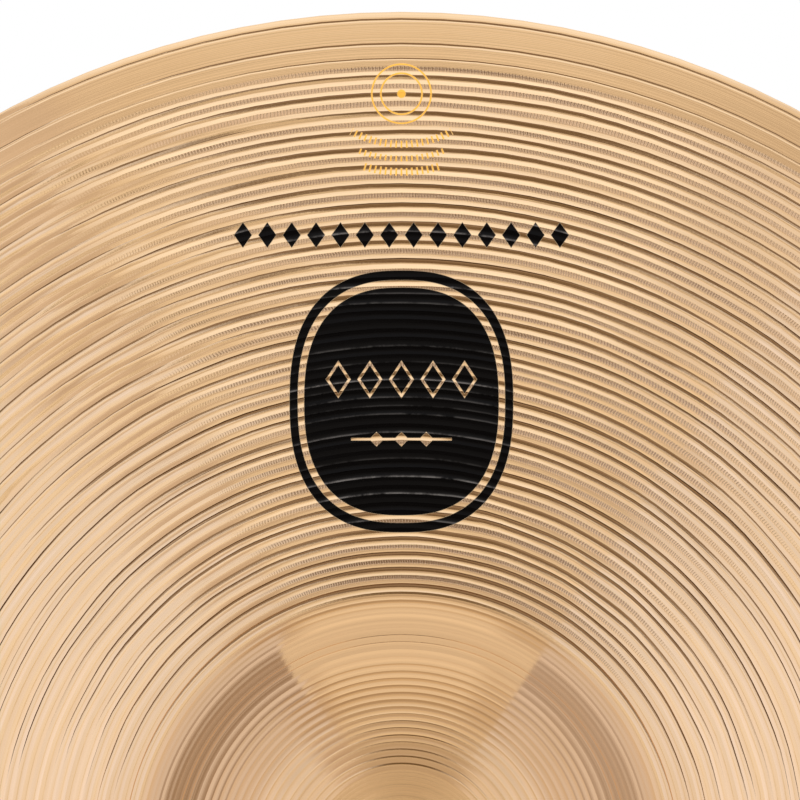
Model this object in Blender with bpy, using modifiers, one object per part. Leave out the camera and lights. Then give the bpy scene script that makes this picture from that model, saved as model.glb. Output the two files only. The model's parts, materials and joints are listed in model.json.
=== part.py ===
"""A pair of hand cymbals, upright and face to face, each with a leather hand strap tied in its bell.

Both plates share one horizontal axis along Y and the origin lies midway between them on that axis.
Each cymbal is built in its own side frame: local +Z points outwards, out of the bell, and local +Y is up.
"""
import math

import bpy
from mathutils import Matrix, Vector

MM = 0.001

# Plate
RIM_RADIUS = 177.8 * MM  # half of a 14 inch diameter
RIM_THICKNESS = 1.0 * MM
PLATE_THICKNESS = 1.3 * MM
BOW_RADIUS = 1100 * MM  # radius of the sphere that the bow is part of
BELL_RADIUS = 55.5 * MM  # where the bell's foot meets the bow
BELL_FILLET = 7 * MM
BELL_SLOPE = math.radians(55)  # steepest slope of the bell's side
SEAT_RADIUS = 19 * MM  # flat round the hole
HOLE_RADIUS = 6.35 * MM
RIM_GAP = 0.3 * MM  # between the two rims when the pair is closed

# Strap
BAND_THICKNESS = 2.4 * MM
BAND_GAP = 0.4 * MM  # between the two bands in the hole
THROAT_WIDTH = 10 * MM
GRIP_WIDTH = 23 * MM
FOLD_REACH = 4.4 * MM  # from the bell's seat to the axis that the strap folds about
FOLD_CLEARANCE = 0.3 * MM
THROAT_STOP = 1.3 * MM  # from the bell's inner face out to the throat's inner end
BANDS_PART = 9 * MM  # depth below the fold axis where the loop's two bands leave each other
PART_WIDTH = 0.3 * MM  # how far they have parted there
WIDEN_START = 14 * MM  # depth below the fold axis where the strap starts to widen
WIDEN_END = 62 * MM

# Knot
LASH_THICKNESS = 2.2 * MM
LASH_ROOT_WIDTH = 4.6 * MM
LASH_WIDTH = 7 * MM
LASH_ROOT_RADIUS = 3.6 * MM  # from the hole's axis to the lash where it leaves the hole
LASH_OFFSET = 5.5 * MM  # sideways from the hole's axis to the lash where it crosses the knot
LASH_LOW = 4.25 * MM  # height of a lash that passes under its neighbour, from the bell's inner face
LASH_CLEARANCE = 0.3 * MM  # between two lashes where they cross
LASH_HIGH = LASH_LOW + LASH_THICKNESS + LASH_CLEARANCE
LASH_BASE = 1.4 * MM  # height of a lash that lies along the bell's inner face
LASH_BEND = 2.4 * MM  # radius of the bend where a lash leaves the hole
FOLD_START = 12 * MM  # distance from the hole's axis where a lash turns back
LAP_REACH = 9.5 * MM  # distance from the hole's axis to the outer edge of a crossing
LAP_GAP = 2.2 * MM  # and to its inner edge
TAIL_REACH = 30 * MM
TAIL_LIFT = 0.5 * MM
TAIL_GUIDES = (0.55, 0.8)  # shares of the tail's reach that have a point of their own
LASH_COUNT = 4

# Facets
TURN_STEPS = 64
ARC_STEPS = 4
BOW_STEPS = 6
LOOP_STEPS = 3
LASH_BEND_STEPS = 3
LASH_FOLD_STEPS = 6

BRONZE = {"color": (0.78, 0.56, 0.31), "roughness": 0.28, "metallic": 1.0}
LEATHER = {"color": (0.19, 0.085, 0.035), "roughness": 0.62, "metallic": 0.0}


def clear_scene():
    for old in list(bpy.data.objects):
        bpy.data.objects.remove(old, do_unlink=True)


def make_material(name, look):
    material = bpy.data.materials.new(name)
    material.use_nodes = True
    shader = material.node_tree.nodes["Principled BSDF"]
    shader.inputs["Base Color"].default_value = (*look["color"], 1.0)
    shader.inputs["Roughness"].default_value = look["roughness"]
    shader.inputs["Metallic"].default_value = look["metallic"]
    return material


def arc(center, radius, start, end, steps):
    """Points on an arc from angle start to angle end, both ends included."""
    angles = [start + (end - start) * i / steps for i in range(steps + 1)]
    return [(center[0] + radius * math.cos(a), center[1] + radius * math.sin(a)) for a in angles]


def smooth_path(points, steps):
    """A Catmull-Rom curve through the points, with steps segments between each two of them."""
    knots = [Vector(p) for p in points]
    knots = [2 * knots[0] - knots[1]] + knots + [2 * knots[-1] - knots[-2]]
    path = []
    for before, here, there, after in zip(knots, knots[1:], knots[2:], knots[3:]):
        for step in range(steps):
            t = step / steps
            slope = (there - before) * t
            bend = (2 * before - 5 * here + 4 * there - after) * t * t
            twist = (3 * here - before - 3 * there + after) * t * t * t
            path.append(here + (slope + bend + twist) / 2)
    path.append(knots[-2])
    return path


def ease(low, high, value):
    """0 below low, 1 above high, and a smooth step between."""
    t = min(max((value - low) / (high - low), 0.0), 1.0)
    return t * t * (3 - 2 * t)


def bow_height(radius):
    """Height of the bow's outer face above the plane between the rims."""
    return RIM_GAP / 2 + RIM_THICKNESS + (RIM_RADIUS**2 - radius**2) / (2 * BOW_RADIUS)


def bell_arcs():
    """The bell's outer face: the flat seat's height, and the dome's and the fillet's centres and radii."""
    foot_slope = BELL_RADIUS / BOW_RADIUS
    foot = bow_height(BELL_RADIUS)
    fillet_center = (
        BELL_RADIUS + BELL_FILLET * math.sin(foot_slope),
        foot + BELL_FILLET * math.cos(foot_slope),
    )
    reach = fillet_center[0] - SEAT_RADIUS
    dome_radius = reach / math.sin(BELL_SLOPE) - BELL_FILLET
    dome_center = (
        SEAT_RADIUS,
        fillet_center[1] - (dome_radius + BELL_FILLET) * math.cos(BELL_SLOPE),
    )
    return dome_center, dome_radius, fillet_center, foot_slope


def seat_height():
    dome_center, dome_radius, _, _ = bell_arcs()
    return dome_center[1] + dome_radius


def plate_outline():
    """The plate's section, clockwise: outer face from hole to rim, the edge, then the inner face back."""
    dome_center, dome_radius, fillet_center, foot_slope = bell_arcs()
    down = -math.pi / 2
    up = math.pi / 2
    bow = [BELL_RADIUS + (RIM_RADIUS - BELL_RADIUS) * i / BOW_STEPS for i in range(1, BOW_STEPS)]
    edge_radius = RIM_THICKNESS / 2
    edge_center = (RIM_RADIUS - edge_radius, RIM_GAP / 2 + edge_radius)

    outer = [(HOLE_RADIUS, seat_height())]
    outer += arc(dome_center, dome_radius, up, up - BELL_SLOPE, ARC_STEPS + 1)
    outer += arc(fillet_center, BELL_FILLET, down - BELL_SLOPE, down - foot_slope, ARC_STEPS)[1:]
    outer += [(r, bow_height(r)) for r in bow]

    inner = [(r, bow_height(r) - PLATE_THICKNESS) for r in reversed(bow)]
    inner += arc(
        fillet_center,
        BELL_FILLET + PLATE_THICKNESS,
        down - foot_slope,
        down - BELL_SLOPE,
        ARC_STEPS,
    )
    inner += arc(dome_center, dome_radius - PLATE_THICKNESS, up - BELL_SLOPE, up, ARC_STEPS + 1)[1:]
    inner += [(HOLE_RADIUS, seat_height() - PLATE_THICKNESS)]
    return outer + arc(edge_center, edge_radius, up, down, ARC_STEPS) + inner


def mesh_object(name, points, edges, faces, material, parent, collection, origin=(0, 0, 0)):
    """An object with its origin at a point of the side frame; points are given in the side frame."""
    start = Vector(origin)
    mesh = bpy.data.meshes.new(name)
    mesh.from_pydata([tuple(Vector(p) - start) for p in points], edges, faces)
    mesh.update()
    mesh.materials.append(material)
    made = bpy.data.objects.new(name, mesh)
    made.location = start
    made.parent = parent
    collection.objects.link(made)
    return made


def turned(name, outline, material, parent, collection):
    """A closed outline of (radius, height) points turned about the side frame's Z axis."""
    count = len(outline)
    edges = [(i, (i + 1) % count) for i in range(count)]
    points = [(r, 0, h) for r, h in outline]
    made = mesh_object(name, points, edges, [], material, parent, collection)
    screw = made.modifiers.new("turn", "SCREW")
    screw.axis = "Z"
    screw.steps = TURN_STEPS
    screw.render_steps = TURN_STEPS
    screw.use_merge_vertices = True
    screw.merge_threshold = 0.00001
    screw.use_smooth_shade = True
    return made


def add_thickness(made, thickness):
    solidify = made.modifiers.new("thickness", "SOLIDIFY")
    solidify.thickness = thickness
    solidify.offset = 0
    solidify.use_even_offset = True


def ribbon(name, path, widths, side, thickness, material, parent, collection, origin=(0, 0, 0)):
    """A flat strip of leather along a path; its width lies along side at every point."""
    points = []
    for center, width in zip(path, widths):
        points.append(center - side * width / 2)
        points.append(center + side * width / 2)
    faces = [(2 * i, 2 * i + 1, 2 * i + 3, 2 * i + 2) for i in range(len(path) - 1)]
    made = mesh_object(name, points, [], faces, material, parent, collection, origin)
    add_thickness(made, thickness)
    return made


def make_loop(name, material, parent, collection):
    """The hand loop, hanging: its inner side falls straight past the bell, its outer side bulges."""
    fold_height = seat_height() + FOLD_REACH
    lane = (BAND_THICKNESS + BAND_GAP) / 2
    top = lane + BAND_THICKNESS / 2 + FOLD_CLEARANCE
    # (outwards from the fold axis, down from it), millimetres, from the inner side round to the outer
    route = [(-2.2, 35), (-1.5, 70), (2, 103), (10, 132), (25, 149), (41, 145), (51, 127)]
    route += [(52.5, 103), (46, 75), (31, 46), (13, 22)]
    points = [(-lane, top), (-lane, BANDS_PART)] + [(a * MM, b * MM) for a, b in route]
    points += [(lane + PART_WIDTH, BANDS_PART), (lane, top)]
    path = smooth_path([(0, -b, fold_height + a) for a, b in points], LOOP_STEPS)
    widths = [
        THROAT_WIDTH + (GRIP_WIDTH - THROAT_WIDTH) * ease(WIDEN_START, WIDEN_END, -p.y) for p in path
    ]
    ribbon(
        name,
        path,
        widths,
        Vector((1, 0, 0)),
        BAND_THICKNESS,
        material,
        parent,
        collection,
        origin=(0, 0, fold_height),
    )


def make_throat(name, material, parent, collection):
    """The strap's two bands in the hole, pressed together, with a round nose where the loop folds."""
    inside = seat_height() - PLATE_THICKNESS + THROAT_STOP
    fold_height = seat_height() + FOLD_REACH
    half = BAND_THICKNESS + BAND_GAP / 2
    nose = arc((0, fold_height), half, 0, math.pi, 2 * ARC_STEPS)
    outline = [(half, inside)] + nose + [(-half, inside)]
    points = [(0, y, z) for y, z in outline]
    faces = [tuple(range(len(points)))]
    made = mesh_object(name, points, [], faces, material, parent, collection)
    add_thickness(made, THROAT_WIDTH)


def lash_route():
    """One lash as (out from the hole's axis, height from the inner face, sideways) points."""
    bend_center = (LASH_ROOT_RADIUS + LASH_BEND, LASH_BASE - LASH_BEND)
    turn = (LASH_HIGH - LASH_BASE) / 2
    turn_center = (FOLD_START, LASH_BASE + turn)
    middle = (LASH_LOW + LASH_HIGH) / 2

    leaving = arc(bend_center, LASH_BEND, math.pi, math.pi / 2, LASH_BEND_STEPS)
    leaving += [(bend_center[0] + (FOLD_START - bend_center[0]) / 2, LASH_BASE)]
    folding = arc(turn_center, turn, -math.pi / 2, math.pi / 2, LASH_FOLD_STEPS)
    crossing = [(LAP_REACH, LASH_HIGH), (LAP_GAP, LASH_HIGH), (0, middle), (-LAP_GAP, LASH_LOW)]
    crossing += [(-LAP_REACH, LASH_LOW)] + [(-TAIL_REACH * share, LASH_LOW) for share in TAIL_GUIDES]
    crossing += [(-TAIL_REACH, LASH_LOW + TAIL_LIFT)]

    # The lash steps sideways from the middle of the bend to the middle of the fold
    step_start = len(leaving) - LASH_BEND_STEPS
    step_end = step_start + len(folding)
    route = []
    for index, (out, height) in enumerate(leaving + folding + crossing):
        route.append((out, height, LASH_OFFSET * ease(step_start, step_end, index)))
    return route


def make_lash(name, turn, material, parent, collection):
    """A slit end of the strap: out of the hole, folded back, over one neighbour and under the next."""
    inner_face = seat_height() - PLATE_THICKNESS
    spin = Matrix.Rotation(turn, 3, "Z")
    path = []
    widths = []
    for out, height, shift in lash_route():
        path.append(spin @ Vector((out, shift, inner_face - height)))
        widths.append(LASH_ROOT_WIDTH + (LASH_WIDTH - LASH_ROOT_WIDTH) * ease(0, LASH_OFFSET / 2, shift))
    side = spin @ Vector((0, 1, 0))
    ribbon(name, path, widths, side, LASH_THICKNESS, material, parent, collection)


def make_side(side, turn, bronze, leather, collection):
    """One cymbal with its strap, in a side frame that turn places about the vertical."""
    frame = bpy.data.objects.new(side + "_side", None)
    frame.matrix_world = Matrix.Rotation(turn, 4, "Z") @ Matrix.Rotation(math.pi / 2, 4, "X")
    collection.objects.link(frame)
    turned(side + "_cymbal", plate_outline(), bronze, frame, collection)
    make_throat(side + "_strap_throat", leather, frame, collection)
    make_loop(side + "_strap_loop", leather, frame, collection)
    for index in range(LASH_COUNT):
        name = f"{side}_knot_lash_{index + 1}"
        make_lash(name, index * math.tau / LASH_COUNT, leather, frame, collection)


def main():
    clear_scene()
    collection = bpy.data.collections.new("hand_cymbals")
    bpy.context.scene.collection.children.link(collection)
    bronze = make_material("bronze", BRONZE)
    leather = make_material("leather", LEATHER)
    make_side("front", 0.0, bronze, leather, collection)
    make_side("back", math.pi, bronze, leather, collection)


main()
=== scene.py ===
"""Looks for a pair of hand cymbals: lathed and printed bronze plates with knotted leather straps."""

import json
import math
import random

import bpy
import numpy as np
from mathutils import Matrix, Vector


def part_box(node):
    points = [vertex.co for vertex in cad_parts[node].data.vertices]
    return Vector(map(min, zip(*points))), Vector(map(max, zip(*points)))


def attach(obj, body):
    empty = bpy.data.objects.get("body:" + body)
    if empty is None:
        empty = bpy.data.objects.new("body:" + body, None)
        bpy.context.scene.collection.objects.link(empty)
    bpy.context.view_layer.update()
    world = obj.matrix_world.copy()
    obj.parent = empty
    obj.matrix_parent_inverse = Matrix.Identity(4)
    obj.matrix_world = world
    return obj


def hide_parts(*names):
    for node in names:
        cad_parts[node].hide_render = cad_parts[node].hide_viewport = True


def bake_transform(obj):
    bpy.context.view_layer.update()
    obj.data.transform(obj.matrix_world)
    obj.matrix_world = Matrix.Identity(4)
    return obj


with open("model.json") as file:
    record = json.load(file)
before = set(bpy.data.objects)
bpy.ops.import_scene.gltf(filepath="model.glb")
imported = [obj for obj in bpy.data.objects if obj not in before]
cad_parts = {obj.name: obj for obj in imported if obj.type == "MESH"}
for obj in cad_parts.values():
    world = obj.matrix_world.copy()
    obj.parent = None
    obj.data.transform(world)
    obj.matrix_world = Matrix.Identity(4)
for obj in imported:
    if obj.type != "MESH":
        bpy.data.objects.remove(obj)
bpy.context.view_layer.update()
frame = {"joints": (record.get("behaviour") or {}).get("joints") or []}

MM = 0.001
DEG = math.pi / 180

# ---- Sizes that the frame gives
PLATE_LOW, PLATE_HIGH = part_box("front_cymbal")
RIM_RADIUS = PLATE_HIGH.x
SEAT_HEIGHT = -PLATE_LOW.y
RIM_BASE = -PLATE_HIGH.y
LOOP_LOW, LOOP_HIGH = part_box("front_strap_loop")
THROAT_LOW, THROAT_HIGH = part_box("front_strap_throat")
GRIP_WIDTH = LOOP_HIGH.x - LOOP_LOW.x
THROAT_WIDTH = THROAT_HIGH.x - THROAT_LOW.x
FOLD_HEIGHT = -next(j["pos_m"][1] for j in frame["joints"] if j["name"] == "front_strap_fold")

# ---- The plate's section, as in the CAD
RIM_THICKNESS = 1.0 * MM
PLATE_THICKNESS = 1.3 * MM
BOW_RADIUS = 1100 * MM
BELL_RADIUS = 55.5 * MM
BELL_FILLET = 7 * MM
BELL_SLOPE = 55 * DEG
SEAT_RADIUS = 19.4 * MM
DOME_START = 19 * MM
HOLE_RADIUS = 6.35 * MM

# ---- The lathe's work
TURN_STEPS = 132
BOW_CUT_WIDTH = 1.7 * MM
RIM_CUT_WIDTH = 2.0 * MM
# The bow's cuts stop this far from the rim, where its plain bands start
RIM_BAND = 11.4 * MM
# Narrow grooves that part the plain bands at the rim: (distance from the rim, depth, half width), in mm
RIM_GROOVES = ((9.9, 0.12, 0.25), (6.85, 0.22, 0.38), (1.7, 0.22, 0.36))
BELL_CUT_COUNT = 25
BELL_CUT_SLOPE = 0.23
INNER_CUT_PITCH = 2.9 * MM
# Shares of a cut's width where the mesh has points
BOW_CUT_SHARES = (0, 0.2, 0.41, 0.5, 0.6, 0.84, 0.92)
BELL_CUT_SHARES = (0, 0.3, 0.6, 0.8, 0.92)

# ---- The strap, as in the CAD
BAND_THICKNESS = 2.4 * MM
BAND_LANE = 1.4 * MM
LASH_THICKNESS = 2.2 * MM


# =====================================================================================================
# Small tools
# =====================================================================================================
def ease(low, high, value):
    """0 below low, 1 above high, and a smooth step between."""
    t = np.clip((value - low) / (high - low), 0.0, 1.0)
    return t * t * (3 - 2 * t)


def arc(center, radius, start, end, steps):
    angles = [start + (end - start) * i / steps for i in range(steps + 1)]
    return [(center[0] + radius * math.cos(a), center[1] + radius * math.sin(a)) for a in angles]


def smooth_path(points, steps):
    """A Catmull-Rom curve through the points, with steps segments between each two of them."""
    knots = [Vector(p) for p in points]
    knots = [2 * knots[0] - knots[1]] + knots + [2 * knots[-1] - knots[-2]]
    path = []
    for before, here, there, after in zip(knots, knots[1:], knots[2:], knots[3:]):
        for step in range(steps):
            t = step / steps
            slope = (there - before) * t
            bend = (2 * before - 5 * here + 4 * there - after) * t * t
            twist = (3 * here - before - 3 * there + after) * t * t * t
            path.append(here + (slope + bend + twist) / 2)
    path.append(knots[-2])
    return path


def even_path(points, spacing):
    """The same route with points a constant distance apart."""
    points = np.array([tuple(p) for p in points])
    steps = np.linalg.norm(np.diff(points, axis=0), axis=1)
    reach = np.concatenate([[0], np.cumsum(steps)])
    count = max(2, int(round(reach[-1] / spacing)) + 1)
    places = np.linspace(0, reach[-1], count)
    return np.stack([np.interp(places, reach, points[:, i]) for i in range(3)], axis=1)


def to_row(points, side):
    """Side-frame points (across, up, out) as row-frame points; the back side is turned half round."""
    points = np.asarray(points, float)
    sign = 1 if side == "front" else -1
    return np.stack([sign * points[:, 0], -sign * points[:, 2], points[:, 1]], axis=1)


def grid_mesh(name, points, ring):
    """A mesh of quads over a grid points[u][v] that closes along v; along u it is a ring or has caps."""
    rows, cols = points.shape[:2]
    index = np.arange(rows * cols).reshape(rows, cols)
    here = index if ring else index[:-1]
    beyond = np.roll(index, -1, axis=0) if ring else index[1:]
    quads = np.stack([here, np.roll(here, -1, 1), np.roll(beyond, -1, 1), beyond], axis=-1)
    polygons = [tuple(q) for q in quads.reshape(-1, 4).tolist()]
    if not ring:
        polygons.append(tuple(reversed(index[0].tolist())))
        polygons.append(tuple(index[-1].tolist()))
    mesh = bpy.data.meshes.new(name)
    mesh.from_pydata(points.reshape(-1, 3).tolist(), [], polygons)
    mesh.update()
    return mesh


def add_piece(name, mesh, body, nodes, materials):
    piece = bpy.data.objects.new(name, mesh)
    bpy.context.scene.collection.objects.link(piece)
    for material in materials:
        mesh.materials.append(material)
    if body:
        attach(piece, body)
    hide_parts(*nodes)
    return piece


class Graph:
    """Short calls for the nodes of one node tree."""

    def __init__(self, tree):
        self.nodes = tree.nodes
        self.links = tree.links

    def add(self, kind, **settings):
        node = self.nodes.new(kind)
        for key, value in settings.items():
            setattr(node, key, value)
        return node

    def put(self, socket, value):
        if isinstance(value, bpy.types.NodeSocket):
            self.links.new(value, socket)
        else:
            socket.default_value = value

    def math(self, operation, *values):
        node = self.add("ShaderNodeMath", operation=operation)
        for socket, value in zip(node.inputs, values):
            self.put(socket, value)
        return node.outputs[0]

    def rise(self, low, high, value):
        """0 below low, 1 above high, a smooth step between; low above high makes it fall."""
        node = self.add("ShaderNodeMapRange", interpolation_type="SMOOTHSTEP")
        flip = low > high
        self.put(node.inputs["Value"], value)
        node.inputs["From Min"].default_value = min(low, high)
        node.inputs["From Max"].default_value = max(low, high)
        node.inputs["To Min"].default_value = 1.0 if flip else 0.0
        node.inputs["To Max"].default_value = 0.0 if flip else 1.0
        return node.outputs["Result"]

    def span(self, value, low, high, output_low, output_high):
        """output_low up to low, output_high from high on, and a straight line between."""
        node = self.add("ShaderNodeMapRange")
        self.put(node.inputs["Value"], value)
        node.inputs["From Min"].default_value = low
        node.inputs["From Max"].default_value = high
        node.inputs["To Min"].default_value = output_low
        node.inputs["To Max"].default_value = output_high
        return node.outputs["Result"]

    def length(self, first, second):
        """The length of a vector with two parts."""
        squares = self.math("ADD", self.math("POWER", first, 2.0), self.math("POWER", second, 2.0))
        return self.math("SQRT", squares)

    def without(self, share):
        return self.math("SUBTRACT", 1.0, share)

    def all_of(self, *values):
        result = values[0]
        for value in values[1:]:
            result = self.math("MULTIPLY", result, value)
        return result

    def any_of(self, *values):
        result = values[0]
        for value in values[1:]:
            result = self.math("MAXIMUM", result, value)
        return result

    def mix(self, share, first, second, blend="MIX"):
        node = self.add("ShaderNodeMix", data_type="RGBA", blend_type=blend)
        for place, value in ((0, share), (6, first), (7, second)):
            if isinstance(value, tuple):
                value = (*value, 1.0)
            self.put(node.inputs[place], value)
        return node.outputs[2]

    def mix_value(self, share, first, second):
        node = self.add("ShaderNodeMix", data_type="FLOAT")
        for place, value in ((0, share), (2, first), (3, second)):
            self.put(node.inputs[place], value)
        return node.outputs[0]

    def vector(self, x, y, z):
        node = self.add("ShaderNodeCombineXYZ")
        for socket, value in zip(node.inputs, (x, y, z)):
            self.put(socket, value)
        return node.outputs[0]

    def noise(self, place, scale, detail=2.0, roughness=0.5, dimensions="3D"):
        node = self.add("ShaderNodeTexNoise", noise_dimensions=dimensions)
        key = "W" if dimensions == "1D" else "Vector"
        self.put(node.inputs[key], place)
        node.inputs["Scale"].default_value = scale
        node.inputs["Detail"].default_value = detail
        node.inputs["Roughness"].default_value = roughness
        return node.outputs[0]

    def bump(self, height, distance, normal=None, strength=1.0):
        node = self.add("ShaderNodeBump")
        node.inputs["Strength"].default_value = strength
        node.inputs["Distance"].default_value = distance
        self.put(node.inputs["Height"], height)
        if normal is not None:
            self.put(node.inputs["Normal"], normal)
        return node.outputs[0]


def new_material(name):
    material = bpy.data.materials.new(name)
    material.use_nodes = True
    graph = Graph(material.node_tree)
    return material, graph, material.node_tree.nodes["Principled BSDF"]


# =====================================================================================================
# Lathed plates
# =====================================================================================================
def bow_height(radius):
    return RIM_BASE + RIM_THICKNESS + (RIM_RADIUS**2 - radius**2) / (2 * BOW_RADIUS)


def bell_arcs():
    """Centre and radius of the bell's dome, which the fillet at its foot settles."""
    foot_slope = BELL_RADIUS / BOW_RADIUS
    fillet = (
        BELL_RADIUS + BELL_FILLET * math.sin(foot_slope),
        bow_height(BELL_RADIUS) + BELL_FILLET * math.cos(foot_slope),
    )
    dome_radius = (fillet[0] - DOME_START) / math.sin(BELL_SLOPE) - BELL_FILLET
    dome = (DOME_START, fillet[1] - (dome_radius + BELL_FILLET) * math.cos(BELL_SLOPE))
    return dome, dome_radius


DOME, DOME_RADIUS = bell_arcs()
# The dome runs into the bow through one smooth skirt
SKIRT_START = 43 * MM
SKIRT_END = 56.5 * MM


def dome_height(radius):
    return DOME[1] + math.sqrt(DOME_RADIUS**2 - max(radius - DOME[0], 0.0) ** 2)


def face_height(radius):
    """Height of the plate's smooth outer face above the plane between the rims."""
    if radius < SKIRT_START:
        return dome_height(radius)
    if radius < SKIRT_END:
        span = SKIRT_END - SKIRT_START
        share = (radius - SKIRT_START) / span
        start_slope = -(SKIRT_START - DOME[0]) / (dome_height(SKIRT_START) - DOME[1])
        end_slope = -SKIRT_END / BOW_RADIUS
        high, low = dome_height(SKIRT_START), bow_height(SKIRT_END)
        height = high + (low - high) * share**2 * (3 - 2 * share)
        height += span * share * (1 - share) * (start_slope * (1 - share) - end_slope * share)
        return height
    return bow_height(radius)


def face_slope(radius):
    step = 0.01 * MM
    return (face_height(radius + step) - face_height(radius - step)) / (2 * step)


# A cut is (width, form, chatter, wear_and_highlight). Its form is a row of (share of the width, slope)
# marks, from the inner ridge to the outer one. Chatter and wear_and_highlight only drive the material; the
# latter pales the print by the inner ridge, as worn print and painted highlight.
def cut_relief(form, share):
    """Relief of a cut of unit width at a share of its width; zero at both ridges."""
    shares = np.linspace(0.0, 1.0, 101)
    slopes = np.interp(shares, [mark[0] for mark in form], [mark[1] for mark in form])
    reliefs = np.concatenate([[0.0], np.cumsum((slopes[1:] + slopes[:-1]) / 2) / 100])
    reliefs -= shares * reliefs[-1]
    return float(np.interp(share, shares, reliefs))


def deep_form(rng, inward, near_bell):
    """A crisp cut: a broad falling flank, a climbing one, and a steep lip at the outer ridge."""
    fall = rng.uniform(0.29, 0.35) + 0.04 * inward - 0.12 * near_bell
    climb = rng.uniform(0.30, 0.38) + 0.06 * inward
    lip = rng.choice((0.65, 0.85, 1.0)) + 0.05 * inward
    steepens = 0.80 - 0.05 * inward - 0.20 * near_bell
    high = climb + 0.6 * (lip - climb)
    return (
        (0.0, -fall),
        (0.40 - 0.05 * near_bell, -fall),
        (0.56 - 0.06 * near_bell, climb),
        (steepens, climb),
        (0.93 - 0.10 * near_bell, high),
        (1.0, lip),
    )


def light_form(rng):
    """A shallow cut with two even flanks."""
    fall = rng.uniform(0.21, 0.27)
    return ((0.0, -fall), (0.4, -fall), (0.55, fall), (1.0, fall * 1.15))


def bow_cuts(rng):
    """Cuts from the bell's foot to the rim's bands: crisp deep ones, with light chattered ones between."""
    start = SKIRT_END
    end = RIM_RADIUS - RIM_BAND
    cuts = []
    radius = start
    while radius < end - 1.2 * MM:
        outward = (radius - start) / (end - start)
        width = BOW_CUT_WIDTH + (RIM_CUT_WIDTH - BOW_CUT_WIDTH) * outward
        form = deep_form(rng, 1 - outward, float(ease(84 * MM, 68 * MM, radius)))
        cuts.append((width * rng.uniform(0.9, 1.15), form, 0.0, rng.choice((0.0, 0.3, 0.6, 1.0))))
        for _ in range(rng.choice((0, 1, 1, 2) if outward < 0.3 else (1, 1, 1, 2))):
            light_width = width * rng.uniform(0.85, 1.1)
            form = light_form(rng)
            chatter = rng.uniform(0.6, 1.0)
            cuts.append((light_width, form, chatter, rng.choice((0.0, 0.0, 0.15, 0.3))))
        radius = start + sum(c[0] for c in cuts)
    stretch = (end - start) / sum(c[0] for c in cuts)
    return start, [(c[0] * stretch, *c[1:]) for c in cuts]


def bell_cuts(rng):
    """Even scooped cuts over the bell, gentler by the seat and where the bell is steep."""
    start = SEAT_RADIUS + 0.2 * MM
    end = SKIRT_END - 0.2 * MM
    width = (end - start) / BELL_CUT_COUNT
    cuts = []
    for index in range(BELL_CUT_COUNT):
        outward = index / (BELL_CUT_COUNT - 1)
        steep = float(ease(0.55, 0.75, outward) * ease(1.0, 0.88, outward))
        by_seat = float(ease(0.25, 0.0, outward))
        slope = BELL_CUT_SLOPE * (1 - 0.7 * steep) * (1 - 0.3 * by_seat) * rng.uniform(0.85, 1.15)
        form = []
        for share in np.linspace(0.0, 1.0, 9):
            late, early = 3 * share * share - 1, 1 - 3 * (1 - share) * (1 - share)
            form.append((share, slope * (late + (early - late) * steep)))
        cuts.append((width, form, 0.0, 0.0))
    return start, cuts


def cut_profile(start, cuts, shares):
    """Points of the cuts: (radius, relief off the smooth face, is it a ridge, chatter, share of worn print
    and painted highlight).
    """
    points = []
    radius = start
    for width, form, chatter, wear_and_highlight in cuts:
        for share in shares:
            relief = width * cut_relief(form, share)
            shaken = chatter * float(ease(0.35, 0.6, share))
            # Worn print and painted highlight by the inner ridge, where the steep flank mirrors the light
            worn = wear_and_highlight * float(ease(0.22, 0.05, share)) if share else wear_and_highlight
            points.append((radius + share * width, relief, share == 0, shaken, worn))
        radius += width
    return points, radius


def outer_profile():
    """The outer face from the hole to the rim, as points like the cuts'."""
    rng = random.Random(14)
    bow_start, bow = bow_cuts(rng)
    bell_start, bell = bell_cuts(rng)
    plain = [HOLE_RADIUS + 0.25 * MM, 12 * MM, SEAT_RADIUS - 0.4 * MM]
    points = [(radius, 0.0, False, 0.0, 0.0) for radius in plain]
    points += cut_profile(bell_start, bell, BELL_CUT_SHARES)[0]
    bow_points, edge = cut_profile(bow_start, bow, BOW_CUT_SHARES)
    points += bow_points
    for inset, depth, half in RIM_GROOVES:
        groove = RIM_RADIUS - inset * MM
        step = (groove - half * MM - edge) / 3
        points += [(edge + step * i, 0.0, i == 0, 0.0, 0.0) for i in (0, 1, 2)]
        for share, drop in ((-1, 0), (-0.35, 0.85), (0.2, 1.0), (1, 0)):
            points.append((groove + share * half * MM, -drop * depth * MM, abs(share) == 1, 0.0, 0.0))
        edge = groove + half * MM + 0.02 * MM
    points.append((RIM_RADIUS - 0.9 * MM, 0.0, False, 0.0, 0.0))
    return points


def inner_profile():
    """The inner face from the rim to the hole, evenly lathed, as points like the cuts'."""
    rng = random.Random(41)
    points = []
    radius = RIM_RADIUS - 3 * MM
    while radius > SEAT_RADIUS + 2 * MM:
        pitch = INNER_CUT_PITCH * rng.uniform(0.85, 1.15)
        for share, depth in ((0.0, 0.0), (0.35, 0.09), (0.75, 0.05)):
            points.append((radius - share * pitch, depth * MM - PLATE_THICKNESS, share == 0, 0.0, 0.0))
        radius -= pitch
    points += [(r, -PLATE_THICKNESS, False, 0.0, 0.0) for r in (SEAT_RADIUS, HOLE_RADIUS + 0.2 * MM)]
    return points


def waves(radius, turn, seed, count, lobe_choices, shortest, longest):
    """A sum of waves round the plate and across it; their lengths across it lie between the two given."""
    rng = random.Random(seed)
    total = np.zeros(np.broadcast(radius, turn).shape)
    for _ in range(count):
        lobes = rng.choice(lobe_choices)
        rings = rng.uniform(1 / longest, 1 / shortest)
        phase = rng.uniform(0, math.tau)
        total = total + rng.uniform(0.2, 1.0) * np.sin(lobes * turn + math.tau * rings * radius + phase)
    return total


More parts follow.
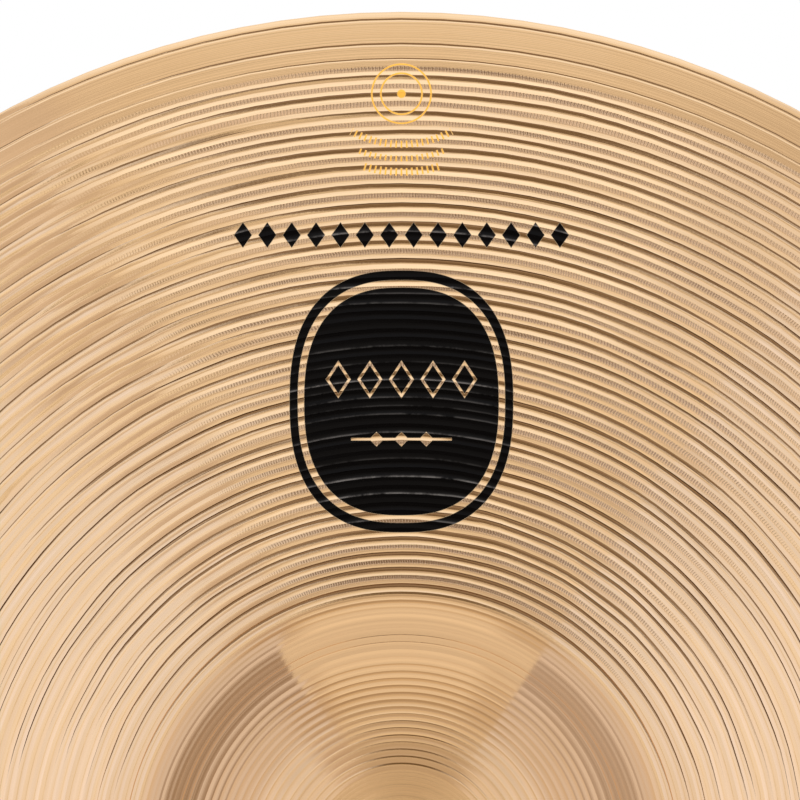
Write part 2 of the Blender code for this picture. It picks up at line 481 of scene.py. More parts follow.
def wander(radius, turn):
    """How far the cuts' rings stray from true circles, where the tool rode over the plate's hammering."""
    lobes = (3, 4, 6, 9, 13, 16, 22, 27)
    stray = waves(radius, turn, 23, count=16, lobe_choices=lobes, shortest=14 * MM, longest=40 * MM)
    within = ease(BELL_RADIUS + 2 * MM, BELL_RADIUS + 14 * MM, radius)
    return 0.034 * MM * stray * within * (1 - ease(RIM_RADIUS - 15 * MM, RIM_RADIUS - 11 * MM, radius))


def undulation(radius, turn):
    """Slow waves that hammering and pressing leave in the bow, both faces alike."""
    lobes = (5, 7, 9, 11, 14, 17, 21)
    hammered = waves(radius, turn, 7, count=14, lobe_choices=lobes, shortest=22 * MM, longest=60 * MM)
    within = ease(BELL_RADIUS + 4 * MM, BELL_RADIUS + 20 * MM, radius)
    return 0.018 * MM * hammered * within * (1 - ease(RIM_RADIUS - 16 * MM, RIM_RADIUS - 5 * MM, radius))


def cut_depth(radius, turn):
    """How deep the cuts are round the plate: patchy, and shallower in one outer quarter."""
    lobes = (4, 7, 11, 15, 19, 24)
    patches = waves(radius, turn, 61, count=18, lobe_choices=lobes, shortest=5 * MM, longest=12 * MM)
    quarter = ease(0.72, 0.97, np.cos(turn + 40 * DEG)) * ease(92 * MM, 128 * MM, radius)
    bow = ease(BELL_RADIUS + 12 * MM, BELL_RADIUS + 24 * MM, radius)
    return 1 - quarter * 0.26 - np.clip(0.15 * patches, -0.3, 0.6) * bow * (0.3 + 0.7 * quarter)


def chatter_share(turn):
    """Where round the plate the tool chattered."""
    return ease(0.03, 0.81, np.cos(2 * (turn - 14 * DEG)))


def on_face(points):
    """(radius, height) of points that are given by their relief off the smooth outer face."""
    placed = []
    for radius, relief, *_ in points:
        slope = face_slope(radius)
        bend = math.hypot(1, slope)
        placed.append((radius - relief * slope / bend, face_height(radius) + relief / bend))
    return placed


def plate_mesh(name, side):
    edge = RIM_THICKNESS / 2
    outer = outer_profile()
    inner = inner_profile()
    rim = arc((RIM_RADIUS - edge, RIM_BASE + edge), edge, 80 * DEG, -90 * DEG, 7)
    seat = face_height(0.0)
    hole = [(HOLE_RADIUS, seat - PLATE_THICKNESS + 0.2 * MM), (HOLE_RADIUS, seat - 0.25 * MM)]
    profile = np.array(on_face([(p[0], 0.0) for p in outer]) + rim + on_face(inner) + hole)
    cuts = np.zeros_like(profile)
    cuts[: len(outer)] = np.array(on_face(outer)) - profile[: len(outer)]
    plain = [(0.0, False, 0.0, 0.0)]
    traits = [p[1:] for p in outer] + plain * len(rim) + [p[1:] for p in inner] + plain * len(hole)

    turn = (np.arange(TURN_STEPS) * math.tau / TURN_STEPS)[None, :]
    radius = profile[:, 0][:, None]
    depth = cut_depth(radius, turn)
    shift = wander(radius, turn)
    moved = radius + shift + cuts[:, 0][:, None] * depth
    slope = np.array([face_slope(r) for r in profile[:, 0]])[:, None]
    height = profile[:, 1][:, None] + slope * shift + undulation(radius, turn) + cuts[:, 1][:, None] * depth
    points = np.stack([moved * np.sin(turn), moved * np.cos(turn), height], axis=-1)
    points = to_row(points.reshape(-1, 3), side).reshape(*points.shape)
    mesh = grid_mesh(name, points, ring=True)
    mesh.shade_smooth()

    ridge = np.array([t[1] for t in traits])
    ends = np.zeros(len(mesh.edges) * 2, np.int32)
    mesh.edges.foreach_get("vertices", ends)
    rows = ends.reshape(-1, 2) // TURN_STEPS
    sharp = (rows[:, 0] == rows[:, 1]) & ridge[rows[:, 0]]
    mesh.attributes.new("sharp_edge", "BOOLEAN", "EDGE").data.foreach_set("value", sharp)
    for trait, place, share in (("chatter", 2, chatter_share(turn)), ("wear_and_highlight", 3, np.ones_like(turn))):
        values = (np.array([t[place] for t in traits])[:, None] * share).astype(np.float32)
        mesh.attributes.new(trait, "FLOAT", "POINT").data.foreach_set("value", values.ravel())

    is_inner = np.zeros(len(profile), bool)
    is_inner[len(outer) + len(rim) - 2 : -1] = True
    mesh.polygons.foreach_set("material_index", np.repeat(is_inner, TURN_STEPS).astype(np.int32))
    return mesh


# ---- Bronze
BRONZE = (0.98, 0.72, 0.43)
# The bell's bronze is darker and browner than the bow's as painted shade, standing in for the warmer,
# dimmer light the bell reflects
BELL_SHADED_BRONZE = (0.738, 0.478, 0.239)
SEAT_BRONZE = (0.86, 0.60, 0.335)
INK = (0.002, 0.0017, 0.0017)
# Pale grey where the print thins by the cuts' inner ridges: worn print, and a painted highlight of the
# light those ridges mirror
WORN_INK_AND_HIGHLIGHT = (0.16, 0.145, 0.135)
ETCHED = (0.88, 0.47, 0.07)
DULL_BRONZE = (0.91, 0.66, 0.46)
# Darker bronze painted in the low parts between the chatter's ticks: painted shade
VALLEY_SHADE_BRONZE = (0.50, 0.35, 0.21)
# Darker brown painted on the bow just outside the bell's foot: painted shade of the dark reflection in that
# crease
FOOT_SHADE_BRONZE = (0.72, 0.50, 0.28)
# Radii in mm where the chatter grows finer, and its ticks' rates: radians of their wave to one of turn
TICK_ZONES = (84.0, 118.0)
TICK_RATES = (760.0, 1060.0, 1420.0)
BADGE_HEIGHT = 96.2 * MM
BADGE_HALF = (23.4 * MM, 27.4 * MM)
ROW_HEIGHT = 131.0 * MM
ETCHED_RINGS_HEIGHT = 160.6 * MM
ETCHED_TICKS_CENTER = 171.6 * MM
EDGE_SOFT = 0.09 * MM


def superellipse(graph, x, z, half_x, half_z, power=2.5):
    """About the distance outside a soft-cornered oval, in metres, negative inside."""
    across = graph.math("POWER", graph.math("ABSOLUTE", graph.math("DIVIDE", x, half_x)), power)
    up = graph.math("POWER", graph.math("ABSOLUTE", graph.math("DIVIDE", z, half_z)), power)
    reach = graph.math("POWER", graph.math("ADD", across, up), 1 / power)
    return graph.math("MULTIPLY", graph.math("SUBTRACT", reach, 1.0), (half_x + half_z) / 2)


def inside(graph, distance):
    return graph.rise(EDGE_SOFT, -EDGE_SOFT, distance)


def lozenge_row(graph, x, z, count, pitch, half_x, half_z):
    """A straight row of lozenges, centred; distance is negative inside one."""
    shifted = graph.math("ADD", x, pitch / 2 if count % 2 == 0 else 0.0)
    cell = graph.math("WRAP", shifted, pitch / 2, -pitch / 2)
    across = graph.math("DIVIDE", graph.math("ABSOLUTE", cell), half_x)
    up = graph.math("DIVIDE", graph.math("ABSOLUTE", z), half_z)
    reach = graph.math("SUBTRACT", graph.math("ADD", across, up), 1.0)
    size = half_x * half_z / math.hypot(half_x, half_z)
    lozenge = graph.math("MULTIPLY", reach, size)
    ends = graph.math("SUBTRACT", graph.math("ABSOLUTE", x), count * pitch / 2)
    return graph.math("MAXIMUM", lozenge, ends)


def bar(graph, x, z, half_x, half_z):
    across = graph.math("SUBTRACT", graph.math("ABSOLUTE", x), half_x)
    up = graph.math("SUBTRACT", graph.math("ABSOLUTE", z), half_z)
    return graph.math("MAXIMUM", across, up)


def badge_mask(graph, x, z):
    """1 where the black print is: a row over an oval field in a ring, with a pattern left bare."""
    half_x, half_z = BADGE_HALF
    local = graph.math("SUBTRACT", z, BADGE_HEIGHT)
    outline = superellipse(graph, x, local, half_x, half_z)
    ring_hole = inside(graph, graph.math("ADD", outline, 1.9 * MM))
    ring = graph.all_of(inside(graph, outline), graph.without(ring_hole))
    field = inside(graph, graph.math("ADD", outline, 3.3 * MM))
    pattern_height = graph.math("SUBTRACT", local, 4.6 * MM)
    lozenges = inside(graph, lozenge_row(graph, x, pattern_height, 5, 6.6 * MM, 2.6 * MM, 3.9 * MM))
    cores = inside(graph, lozenge_row(graph, x, pattern_height, 5, 6.6 * MM, 2.0 * MM, 3.0 * MM))
    outlines = graph.all_of(lozenges, graph.without(cores))
    line_height = graph.math("ADD", local, 7.9 * MM)
    line = inside(graph, bar(graph, x, line_height, 10.5 * MM, 0.25 * MM))
    dots = inside(graph, lozenge_row(graph, x, line_height, 3, 5.2 * MM, 1.5 * MM, 1.5 * MM))
    field = graph.all_of(field, graph.without(graph.any_of(outlines, line, dots)))
    row_local = graph.math("SUBTRACT", z, ROW_HEIGHT)
    row = inside(graph, lozenge_row(graph, x, row_local, 14, 5.1 * MM, 1.9 * MM, 2.7 * MM))
    return graph.any_of(ring, field, row)


def etched_mask(graph, x, z):
    """1 where lines are etched near the rim: two rings round a dot, and three curved rows of ticks."""
    local = graph.math("SUBTRACT", z, ETCHED_RINGS_HEIGHT)
    reach = graph.length(x, local)
    lines = []
    for radius in (6.2 * MM, 4.3 * MM):
        off = graph.math("ABSOLUTE", graph.math("SUBTRACT", reach, radius))
        lines.append(inside(graph, graph.math("SUBTRACT", off, 0.18 * MM)))
    lines.append(inside(graph, graph.math("SUBTRACT", reach, 0.9 * MM)))
    fan = graph.math("SUBTRACT", ETCHED_TICKS_CENTER, z)
    turn = graph.math("ARCTAN2", x, fan)
    reach = graph.length(x, fan)
    for radius_mm, half_turn, half_tick in ((21.6, 29, 0.75), (24.6, 21, 0.6), (27.4, 17, 0.8)):
        radius = radius_mm * MM
        off = graph.math("ABSOLUTE", graph.math("SUBTRACT", reach, radius))
        cell = graph.math("WRAP", graph.math("MULTIPLY", turn, radius), 0.55 * MM, -0.55 * MM)
        past = graph.math("SUBTRACT", graph.math("ABSOLUTE", turn), half_turn * DEG)
        tick = graph.any_of(
            graph.math("SUBTRACT", off, half_tick * MM),
            graph.math("SUBTRACT", graph.math("ABSOLUTE", cell), 0.17 * MM),
            graph.math("MULTIPLY", past, radius),
        )
        lines.append(inside(graph, tick))
    return graph.any_of(*lines)


def bronze_material(name, printed):
    material, graph, shader = new_material(name)
    place = graph.add("ShaderNodeTexCoord").outputs["Object"]
    split = graph.add("ShaderNodeSeparateXYZ")
    graph.put(split.inputs[0], place)
    x, _, z = split.outputs
    radius_mm = graph.math("MULTIPLY", graph.length(x, z), 1000.0)
    turn = graph.math("ARCTAN2", x, z)
    chatter = graph.add("ShaderNodeAttribute", attribute_name="chatter").outputs["Fac"]
    wear_and_highlight = graph.add("ShaderNodeAttribute", attribute_name="wear_and_highlight").outputs["Fac"]

    # Rings that the tool's edge leaves, finer than the cuts, and short radial ticks where it chattered
    fine_rings = graph.noise(radius_mm, 3.2, 2.0, 0.6, "1D")
    soft_rings = graph.noise(radius_mm, 0.5, 2.0, 0.5, "1D")
    tick_rate = TICK_RATES[0]
    for zone_start, rate in zip(TICK_ZONES, TICK_RATES[1:]):
        tick_rate = graph.mix_value(graph.math("GREATER_THAN", radius_mm, zone_start), tick_rate, rate)
    tick_phase = graph.math("MULTIPLY", graph.noise(radius_mm, 0.7, 1.0, 0.5, "1D"), 5.0)
    tick_drift = graph.math("MULTIPLY", graph.noise(place, 220.0, 2.0, 0.6), 7.0)
    tick_phase = graph.math("ADD", tick_phase, tick_drift)
    tick_wave = graph.math("SINE", graph.math("ADD", graph.math("MULTIPLY", turn, tick_rate), tick_phase))
    ticks = graph.rise(-0.5, 0.5, tick_wave)
    tick_depth = graph.mix_value(graph.rise(*TICK_ZONES, radius_mm), 1.0, 0.9)
    blotches = graph.noise(place, 26.0, 4.0, 0.6)
    grains = graph.noise(place, 1500.0, 2.0, 0.5)

    # Painted shade: the bell is darker and browner than the bow, for the warmer, dimmer light it reflects,
    # and the seat is between; a darker ring just outside the bell's foot is painted shade as well
    color = graph.mix(graph.rise(54.0, 57.0, radius_mm), BELL_SHADED_BRONZE, BRONZE)
    color = graph.mix(graph.rise(36.0, 29.0, radius_mm), color, SEAT_BRONZE)
    tint = graph.span(soft_rings, 0.3, 0.7, 0.93, 1.0)
    stain = graph.math("MULTIPLY", graph.rise(0.45, 0.75, blotches), 0.5)
    color = graph.mix(1.0, color, graph.mix(stain, (1.0, 1.0, 1.0), (0.97, 0.94, 0.88)), "MULTIPLY")
    color = graph.mix(1.0, color, graph.vector(tint, tint, tint), "MULTIPLY")
    # Painted shade: a darker brown ring just outside the bell's foot
    foot_shade = graph.math("MULTIPLY", graph.rise(54.5, 56.5, radius_mm), graph.rise(66.0, 61.0, radius_mm))
    color = graph.mix(graph.math("MULTIPLY", foot_shade, 0.3), color, FOOT_SHADE_BRONZE)
    color = graph.mix(graph.math("MULTIPLY", chatter, 0.5), color, DULL_BRONZE)
    # Painted shade in the valleys between the chatter's ticks
    tick_valley_shade = graph.all_of(chatter, graph.without(ticks), tick_depth)
    color = graph.mix(graph.math("MULTIPLY", tick_valley_shade, 0.55), color, VALLEY_SHADE_BRONZE)
    roughness = graph.span(blotches, 0.25, 0.75, 0.08, 0.12)
    roughness = graph.mix_value(graph.math("MULTIPLY", chatter, 0.8), roughness, 0.24)
    metal = 1.0
    bare = 1.0
    if printed:
        ink = badge_mask(graph, x, z)
        etched = etched_mask(graph, x, z)
        # The print is paler by the cuts' inner ridges: partly worn print, partly a painted highlight of the
        # light those steep flanks mirror
        broken = graph.rise(0.34, 0.6, graph.noise(place, 160.0, 4.0, 0.7))
        worn = graph.math("MULTIPLY", wear_and_highlight, broken)
        print_color = graph.mix(graph.math("MULTIPLY", worn, 0.9), INK, WORN_INK_AND_HIGHLIGHT)
        color = graph.mix(ink, graph.mix(etched, color, ETCHED), print_color)
        roughness = graph.mix_value(etched, roughness, 0.6)
        roughness = graph.mix_value(ink, roughness, 0.16)
        bare = graph.without(ink)
        metal = graph.math("SUBTRACT", bare, graph.math("MULTIPLY", etched, 0.85))

    normal = graph.bump(fine_rings, 0.014 * MM)
    normal = graph.bump(graph.all_of(ticks, chatter, bare, tick_depth), 0.018 * MM, normal)
    normal = graph.bump(grains, 0.003 * MM, normal)

    graph.put(shader.inputs["Base Color"], color)
    graph.put(shader.inputs["Roughness"], roughness)
    graph.put(shader.inputs["Metallic"], metal)
    graph.put(shader.inputs["Normal"], normal)
    shader.inputs["Specular IOR Level"].default_value = 0.07
    shader.inputs["Anisotropic"].default_value = 0.6
    shader.inputs["Anisotropic Rotation"].default_value = 0.25
    tangent = graph.add("ShaderNodeTangent", direction_type="RADIAL", axis="Y")
    graph.put(shader.inputs["Tangent"], tangent.outputs[0])
    return material


def make_plates():
    face = bronze_material("bronze_face", True)
    inner = bronze_material("bronze_inner", False)
    for side in ("front", "back"):
        name = side + "_plate"
        mesh = plate_mesh(name, side)
        add_piece(name, mesh, name, [side + "_cymbal"], [face, inner])


# =====================================================================================================
# Leather straps
# =====================================================================================================
def strip_section(width, thickness, crease):
    """Rounded section of a leather strip as (across, through) points; crease is a line by each edge."""
    half = width / 2
    round_off = thickness * 0.5
    flat = half - round_off * 0.8
    line = flat - 1.3 * MM
    top = [(-flat, 0.47), (-line - 0.35 * MM, 0.5), (-line, 0.5 - crease), (-line + 0.35 * MM, 0.5)]
    top += [(share * line * 0.8, 0.5 + 0.02 * (1 - share * share)) for share in (-0.7, -0.25, 0.25, 0.7)]
    top += [(-a, b) for a, b in reversed(top[:4])]
    side = [(half - round_off * 0.25, 0.33), (half, 0.08), (half - round_off * 0.05, -0.2)]
    side += [(half - round_off * 0.35, -0.4)]
    bottom = [(flat, -0.47), (flat * 0.5, -0.5), (0.0, -0.5), (-flat * 0.5, -0.5), (-flat, -0.47)]
    points = top + side + bottom + [(-a, b) for a, b in reversed(side)]
    return [(a, b * thickness) for a, b in points]


def strip_rows(path, widths, across, thickness, crease, end_cut=0.0):
    """Rows of points round a leather strip along a path of side-frame points; across is its width's way."""
    path = np.asarray(path, float)
    tangent = np.gradient(path, axis=0)
    tangent /= np.linalg.norm(tangent, axis=1)[:, None]
    across = np.asarray(across, float)
    through = np.cross(tangent, across)
    through /= np.linalg.norm(through, axis=1)[:, None]
    rows = []
    for center, normal, width in zip(path, through, widths):
        section = strip_section(width, thickness, crease)
        rows.append([center + across * a + normal * b for a, b in section])
    points = np.array(rows)
    if end_cut:
        offset = (points[-1] - path[-1]) @ across
        points[-1] -= tangent[-1] * (offset + widths[-1] / 2)[:, None] * end_cut
    return points


def fold_path():
    """The strap's centreline, in side-frame points: in through the hole, round the loop, and out again."""
    bend = 2.2 * MM
    center_out = FOLD_HEIGHT - BAND_LANE - bend
    center_up = -BAND_LANE - bend
    start = SEAT_HEIGHT - 0.2 * MM
    route = [(-2.2, 35), (-1.5, 70), (2, 103), (10, 132), (25, 149), (41, 145), (51, 127)]
    route += [(52.5, 103), (46, 75), (31, 46), (13, 22)]
    inner = [(start, -BAND_LANE), (center_out - 0.4 * MM, -BAND_LANE)]
    inner += arc((center_out, center_up), bend, 90 * DEG, 0, 6)
    inner += [(FOLD_HEIGHT - BAND_LANE, -9 * MM)]
    wide = bend + 2 * BAND_LANE
    outer = [(FOLD_HEIGHT + BAND_LANE + 0.3 * MM, -9 * MM)]
    outer += arc((center_out, center_up), wide, 0, 90 * DEG, 8)
    outer += [(start, BAND_LANE)]
    loop = [(FOLD_HEIGHT + a * MM, -b * MM) for a, b in route]
    points = [(0, up, out) for out, up in inner + loop + outer]
    return even_path(smooth_path(points, 10), 0.9 * MM)


def strap_widths(path):
    depth = -path[:, 1]
    return THROAT_WIDTH + (GRIP_WIDTH - THROAT_WIDTH) * ease(14 * MM, 62 * MM, depth)


def leather_material(name, tone):
    material, graph, shader = new_material(name)
    place = graph.add("ShaderNodeTexCoord").outputs["Object"]
    cells = graph.add("ShaderNodeTexVoronoi", feature="DISTANCE_TO_EDGE")
    cells.inputs["Scale"].default_value = 950.0
    warp = graph.add("ShaderNodeTexNoise")
    warp.inputs["Scale"].default_value = 160.0
    graph.put(warp.inputs["Vector"], place)
    moved = graph.add("ShaderNodeVectorMath", operation="MULTIPLY_ADD")
    graph.put(moved.inputs[0], warp.outputs["Color"])
    moved.inputs[1].default_value = (1.2 * MM, 1.2 * MM, 1.2 * MM)
    graph.put(moved.inputs[2], place)
    graph.put(cells.inputs["Vector"], moved.outputs[0])
    grain = graph.rise(0.0, 0.16, cells.outputs["Distance"])
    wrinkles = graph.noise(place, 120.0, 5.0, 0.65)
    fibres = graph.noise(place, 2600.0, 2.0, 0.6)
    clouds = graph.noise(place, 38.0, 4.0, 0.6)
    pointiness = graph.add("ShaderNodeNewGeometry").outputs["Pointiness"]
    worn = graph.rise(0.505, 0.56, pointiness)

    dark = tuple(c * 0.55 for c in tone)
    light = tuple(min(1.0, c * 1.75) for c in tone)
    color = graph.mix(graph.rise(0.3, 0.72, clouds), dark, tone)
    color = graph.mix(graph.math("MULTIPLY", graph.without(grain), 0.45), color, dark)
    color = graph.mix(graph.math("MULTIPLY", graph.rise(0.5, 0.8, wrinkles), 0.35), color, light)
    color = graph.mix(graph.math("MULTIPLY", worn, 0.5), color, light)
    roughness = graph.span(wrinkles, 0.3, 0.7, 0.42, 0.66)

    normal = graph.bump(grain, 0.05 * MM, strength=0.8)
    normal = graph.bump(wrinkles, 0.35 * MM, normal, 0.6)
    normal = graph.bump(fibres, 0.02 * MM, normal, 0.6)
    graph.put(shader.inputs["Base Color"], color)
    graph.put(shader.inputs["Roughness"], roughness)
    graph.put(shader.inputs["Normal"], normal)
    shader.inputs["Specular IOR Level"].default_value = 0.42
    return material


def make_straps():
    leather = leather_material("strap_leather", (0.20, 0.088, 0.036))
    for side in ("front", "back"):
        path = fold_path()
        rows = strip_rows(path, strap_widths(path), (1.0, 0.0, 0.0), BAND_THICKNESS, 0.07)
        points = to_row(rows.reshape(-1, 3), side).reshape(rows.shape)
        mesh = grid_mesh(side + "_strap", points, ring=False)
        mesh.shade_smooth()
        mesh.set_sharp_from_angle(angle=50 * DEG)
        nodes = [side + "_strap_loop", side + "_strap_throat"]
        piece = add_piece(side + "_strap", mesh, None, nodes, [leather])
        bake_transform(piece)
        make_knot(side, leather)


# ---- Knot
LASH_COUNT = 4
LASH_OFFSET = 5.5 * MM
LASH_LOW = 4.25 * MM
LASH_HIGH = LASH_LOW + LASH_THICKNESS + 0.3 * MM
LASH_BASE = 1.4 * MM
LASH_BEND = 2.4 * MM
LASH_ROOT_RADIUS = 3.6 * MM
LASH_ROOT_WIDTH = 4.6 * MM
LASH_WIDTH = 7 * MM
FOLD_START = 12 * MM
LAP_REACH = 9.5 * MM
LAP_GAP = 2.2 * MM
TAIL_REACH = 30 * MM


def lash_path():
    """One lash as (out from the hole's axis, sideways, height off the inner face), as in the CAD."""
    center = (LASH_ROOT_RADIUS + LASH_BEND, LASH_BASE - LASH_BEND)
    turn = (LASH_HIGH - LASH_BASE) / 2
    leaving = arc(center, LASH_BEND, math.pi, math.pi / 2, 3)
    leaving += [(center[0] + (FOLD_START - center[0]) / 2, LASH_BASE)]
    folding = arc((FOLD_START, LASH_BASE + turn), turn, -math.pi / 2, math.pi / 2, 6)
    crossing = [(LAP_REACH, LASH_HIGH), (LAP_GAP, LASH_HIGH), (0, (LASH_LOW + LASH_HIGH) / 2)]
    crossing += [(-LAP_GAP, LASH_LOW), (-LAP_REACH, LASH_LOW), (-TAIL_REACH * 0.55, LASH_LOW)]
    crossing += [(-TAIL_REACH * 0.8, LASH_LOW), (-TAIL_REACH, LASH_LOW + 0.5 * MM)]
    route = []
    for index, (out, height) in enumerate(leaving + folding + crossing):
        shift = LASH_OFFSET * ease(len(leaving) - 3, len(leaving) + len(folding) - 3, index)
        route.append((out, shift, height))
    return even_path(smooth_path(route, 6), 0.6 * MM)


def make_knot(side, leather):
    inner_face = SEAT_HEIGHT - PLATE_THICKNESS
    path = lash_path()
    widths = LASH_ROOT_WIDTH + (LASH_WIDTH - LASH_ROOT_WIDTH) * ease(0, LASH_OFFSET / 2, path[:, 1])
    local = path.copy()
    local[:, 2] = inner_face - path[:, 2]
    rows = strip_rows(local, widths, (0.0, 1.0, 0.0), LASH_THICKNESS, 0.04, end_cut=0.5)
    for index in range(LASH_COUNT):
        spin = np.array(Matrix.Rotation(index * math.tau / LASH_COUNT, 3, "Z"))
        turned = rows.reshape(-1, 3) @ spin.T
        points = to_row(turned, side).reshape(rows.shape)
        name = f"{side}_lash_{index + 1}"
        mesh = grid_mesh(name, points, ring=False)
        mesh.shade_smooth()
        mesh.set_sharp_from_angle(angle=50 * DEG)
        add_piece(name, mesh, side + "_strap", [f"{side}_knot_lash_{index + 1}"], [leather])


# =====================================================================================================
# Camera, floor and light
# =====================================================================================================
CAMERA_DISTANCE = 5.0
CAMERA_ASIDE = -0.3 * MM
CAMERA_HEIGHT = 0.5427 * RIM_RADIUS
FRAMED_WIDTH = 167.54 * MM


def make_camera():
    """A long lens, level, square to the plate, framing its upper part."""
    data = bpy.data.cameras.new("camera")
    data.sensor_width = 36.0
    data.lens = data.sensor_width * CAMERA_DISTANCE / FRAMED_WIDTH
    data.clip_end = 60.0
    camera = bpy.data.objects.new("camera", data)
    camera.location = (CAMERA_ASIDE, -CAMERA_DISTANCE - RIM_THICKNESS, CAMERA_HEIGHT)
    camera.rotation_euler = (90 * DEG, 0, 0)
    bpy.context.scene.collection.objects.link(camera)
    bpy.context.scene.camera = camera


def make_floor():
    half = 12.0
    level = -RIM_RADIUS - 0.2 * MM
    corners = [(-half, -half, level), (half, -half, level), (half, half, level), (-half, half, level)]
    mesh = bpy.data.meshes.new("floor")
    mesh.from_pydata(corners, [], [(0, 1, 2, 3)])
    floor = bpy.data.objects.new("floor", mesh)
    bpy.context.scene.collection.objects.link(floor)
    material, _, shader = new_material("floor")
    shader.inputs["Base Color"].default_value = (0.99, 0.99, 0.99, 1.0)
    shader.inputs["Roughness"].default_value = 0.9
    mesh.materials.append(material)
    floor.visible_glossy = False


def studio_world():
    """White to the eye. The metal sees a soft room: pale walls, a dim patch at the lens, a dark floor."""
    world = bpy.data.worlds.new("studio")
    world.use_nodes = True
    bpy.context.scene.world = world
    graph = Graph(world.node_tree)
    direction = graph.add("ShaderNodeTexCoord").outputs["Generated"]
    split = graph.add("ShaderNodeSeparateXYZ")
    graph.put(split.inputs[0], direction)
    x, y, z = split.outputs
    # polar is the angle off the plates' axis; turn is the angle round it from straight up, away its size
    polar = graph.math("ARCTAN2", graph.length(x, z), graph.math("ABSOLUTE", y))
    turn = graph.math("ARCTAN2", x, z)
    away = graph.math("ABSOLUTE", turn)

    # Walls: warmer near the axis, a little dimmer beside the softbox, and dim square to the axis
    walls = graph.mix(graph.rise(18 * DEG, 50 * DEG, polar), (0.90, 0.83, 0.84), (0.96, 0.93, 1.07))
    beside = graph.all_of(
        graph.rise(14 * DEG, 28 * DEG, away),
        graph.rise(68 * DEG, 50 * DEG, away),
        graph.rise(24 * DEG, 40 * DEG, polar),
    )
    walls = graph.mix(beside, walls, (0.86, 0.84, 0.94))
    walls = graph.mix(graph.rise(53 * DEG, 66 * DEG, polar), walls, (0.98, 0.99, 1.22))
    far_walls = graph.mix(graph.rise(-0.2, 0.2, x), (0.43, 0.35, 0.32), (0.58, 0.53, 0.59))
    walls = graph.mix(graph.rise(73 * DEG, 92 * DEG, polar), walls, far_walls)
    low_walls = graph.mix(graph.rise(8 * DEG, 20 * DEG, polar), (0.95, 0.86, 0.78), (0.92, 0.90, 1.0))
    light = graph.mix(graph.rise(95 * DEG, 125 * DEG, away), walls, low_walls)

    # Dimmer areas: up on the left, above the axis, and right round it
    left = graph.all_of(
        graph.rise(-46 * DEG, -34 * DEG, turn),
        graph.rise(-8 * DEG, -22 * DEG, turn),
        graph.rise(8 * DEG, 16 * DEG, polar),
        graph.rise(56 * DEG, 42 * DEG, polar),
    )
    left_glow = graph.mix(graph.rise(20 * DEG, 48 * DEG, polar), (0.72, 0.61, 0.56), (0.60, 0.49, 0.43))
    light = graph.mix(left, light, left_glow)
    patch = graph.all_of(
        graph.rise(-34 * DEG, -18 * DEG, turn),
        graph.rise(48 * DEG, 32 * DEG, turn),
        graph.rise(46 * DEG, 26 * DEG, polar),
    )
    light = graph.mix(patch, light, (0.61, 0.51, 0.43))
    light = graph.mix(graph.rise(5 * DEG, 2 * DEG, polar), light, (0.70, 0.59, 0.475))

    # The dark floor, and a dim column between it and the lens
    dim = graph.mix(graph.rise(27 * DEG, 38 * DEG, polar), (0.19, 0.13, 0.08), (0.32, 0.24, 0.19))
    dim = graph.mix(graph.rise(42 * DEG, 56 * DEG, polar), dim, (0.07, 0.035, 0.012))
    column_right = graph.rise(158 * DEG, 172 * DEG, turn)
    column_left = graph.rise(-148 * DEG, -164 * DEG, turn)
    column = graph.all_of(graph.any_of(column_right, column_left), graph.rise(1 * DEG, 7 * DEG, polar))
    floor_edge = graph.span(polar, 34 * DEG, 60 * DEG, -0.40, -0.23)
    floor_rise = graph.math("MULTIPLY", graph.rise(0.1, -0.2, x), 0.10)
    floor_edge = graph.math("ADD", floor_edge, floor_rise)
    floor = graph.rise(0.06, -0.06, graph.math("SUBTRACT", z, floor_edge))
    light = graph.mix(graph.any_of(column, floor), light, dim)

    ray = graph.add("ShaderNodeLightPath")
    seen = graph.mix(ray.outputs["Is Glossy Ray"], (1.0, 1.0, 1.0), light)
    background = graph.nodes["Background"]
    graph.put(background.inputs["Color"], seen)
    background.inputs["Strength"].default_value = 1.0


SOFTBOX_HEIGHT = 262 * MM
SOFTBOX_REACH = 350 * MM
SOFTBOX_RIGHT = 180 * MM
SOFTBOX_LEFT = -158 * MM
SOFTBOX_LEFT_END = -112 * MM
SOFTBOX_AXIS_GLOW = (0.96, 0.93, 0.96)
SOFTBOX_GLOW = (1.15, 1.12, 1.15)
SOFTBOX_EVEN_GLOW = (1.04, 1.01, 1.05)
SOFTBOX_SIDE_GLOW = (0.86, 0.80, 0.81)
SOFTBOX_FAR_GLOW = (0.864, 0.758, 0.658)
SOFTBOX_END_GLOW = (0.62, 0.54, 0.47)


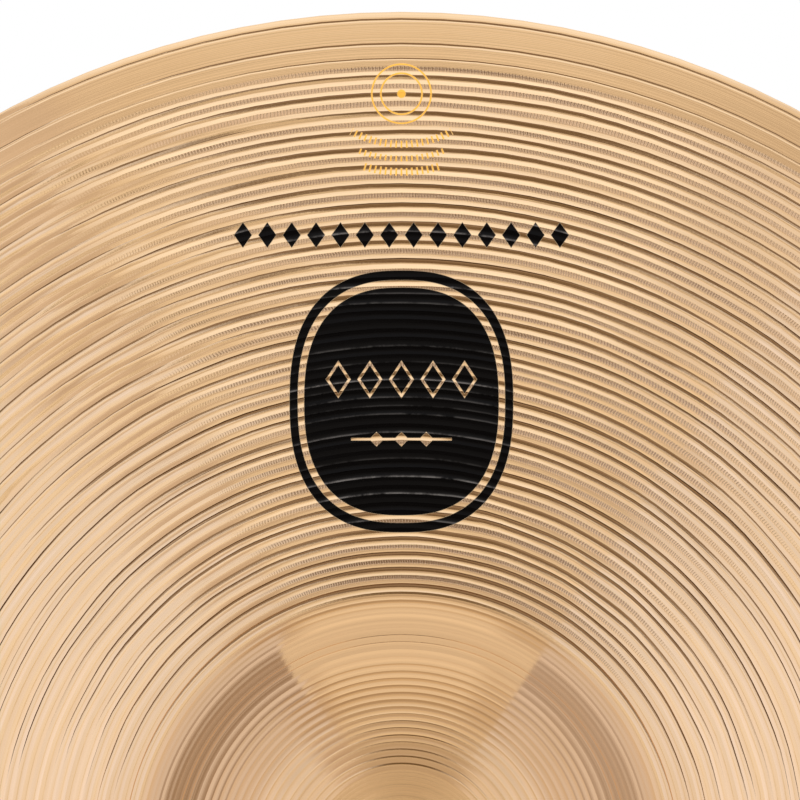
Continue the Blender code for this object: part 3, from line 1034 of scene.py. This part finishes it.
def make_softbox():
    """A large sheet of light over the plates that only glossy rays see, brightest just off its middle."""
    left_corners = ((SOFTBOX_LEFT, 0), (SOFTBOX_LEFT_END, -SOFTBOX_REACH))
    right_corners = ((SOFTBOX_RIGHT, -SOFTBOX_REACH), (SOFTBOX_RIGHT, SOFTBOX_REACH))
    outline = (*left_corners, *right_corners, (SOFTBOX_LEFT_END, SOFTBOX_REACH))
    mesh = bpy.data.meshes.new("softbox")
    face = tuple(reversed(range(len(outline))))
    mesh.from_pydata([(x, y, SOFTBOX_HEIGHT) for x, y in outline], [], [face])
    softbox = bpy.data.objects.new("softbox", mesh)
    bpy.context.scene.collection.objects.link(softbox)
    material = bpy.data.materials.new("softbox")
    material.use_nodes = True
    graph = Graph(material.node_tree)
    graph.nodes.remove(graph.nodes["Principled BSDF"])
    glow = graph.add("ShaderNodeEmission")
    place = graph.add("ShaderNodeNewGeometry").outputs["Position"]
    split = graph.add("ShaderNodeSeparateXYZ")
    graph.put(split.inputs[0], place)
    beside = graph.math("ABSOLUTE", split.outputs[0])
    out = graph.math("ABSOLUTE", split.outputs[1])
    sides = graph.all_of(graph.rise(0.09, 0.14, beside), graph.rise(0.05, 0.09, out))
    color = graph.mix(graph.rise(0.02, 0.08, out), SOFTBOX_AXIS_GLOW, SOFTBOX_GLOW)
    color = graph.mix(graph.rise(0.08, 0.12, out), color, SOFTBOX_EVEN_GLOW)
    color = graph.mix(sides, color, SOFTBOX_SIDE_GLOW)
    color = graph.mix(graph.rise(0.13, 0.24, out), color, SOFTBOX_FAR_GLOW)
    color = graph.mix(graph.rise(0.28, 0.36, out), color, SOFTBOX_END_GLOW)
    graph.put(glow.inputs["Color"], color)
    glow.inputs["Strength"].default_value = 1.0
    graph.put(graph.nodes["Material Output"].inputs["Surface"], glow.outputs[0])
    mesh.materials.append(material)
    softbox.visible_camera = False
    softbox.visible_shadow = False
    softbox.visible_diffuse = False


LAMP_PLACE = (-0.5, -1.2, 1.6)
LAMP_SIDE = 0.9
LAMP_POWER = 14.0


def make_lamp():
    """A soft warm lamp up on the left, aimed at the plates' middle, that mirrors don't show."""
    data = bpy.data.lights.new("key", "AREA")
    data.shape = "SQUARE"
    data.size = LAMP_SIDE
    data.energy = LAMP_POWER
    data.color = (1.0, 0.97, 0.93)
    lamp = bpy.data.objects.new("key", data)
    lamp.location = LAMP_PLACE
    lamp.rotation_euler = (-Vector(LAMP_PLACE)).to_track_quat("-Z", "Y").to_euler()
    lamp.visible_camera = False
    lamp.visible_glossy = False
    bpy.context.scene.collection.objects.link(lamp)


def make_light():
    studio_world()
    make_softbox()
    make_lamp()
    view = bpy.context.scene.view_settings
    view.view_transform = "Standard"
    view.look = "None"


make_camera()
make_floor()
make_light()
make_plates()
make_straps()
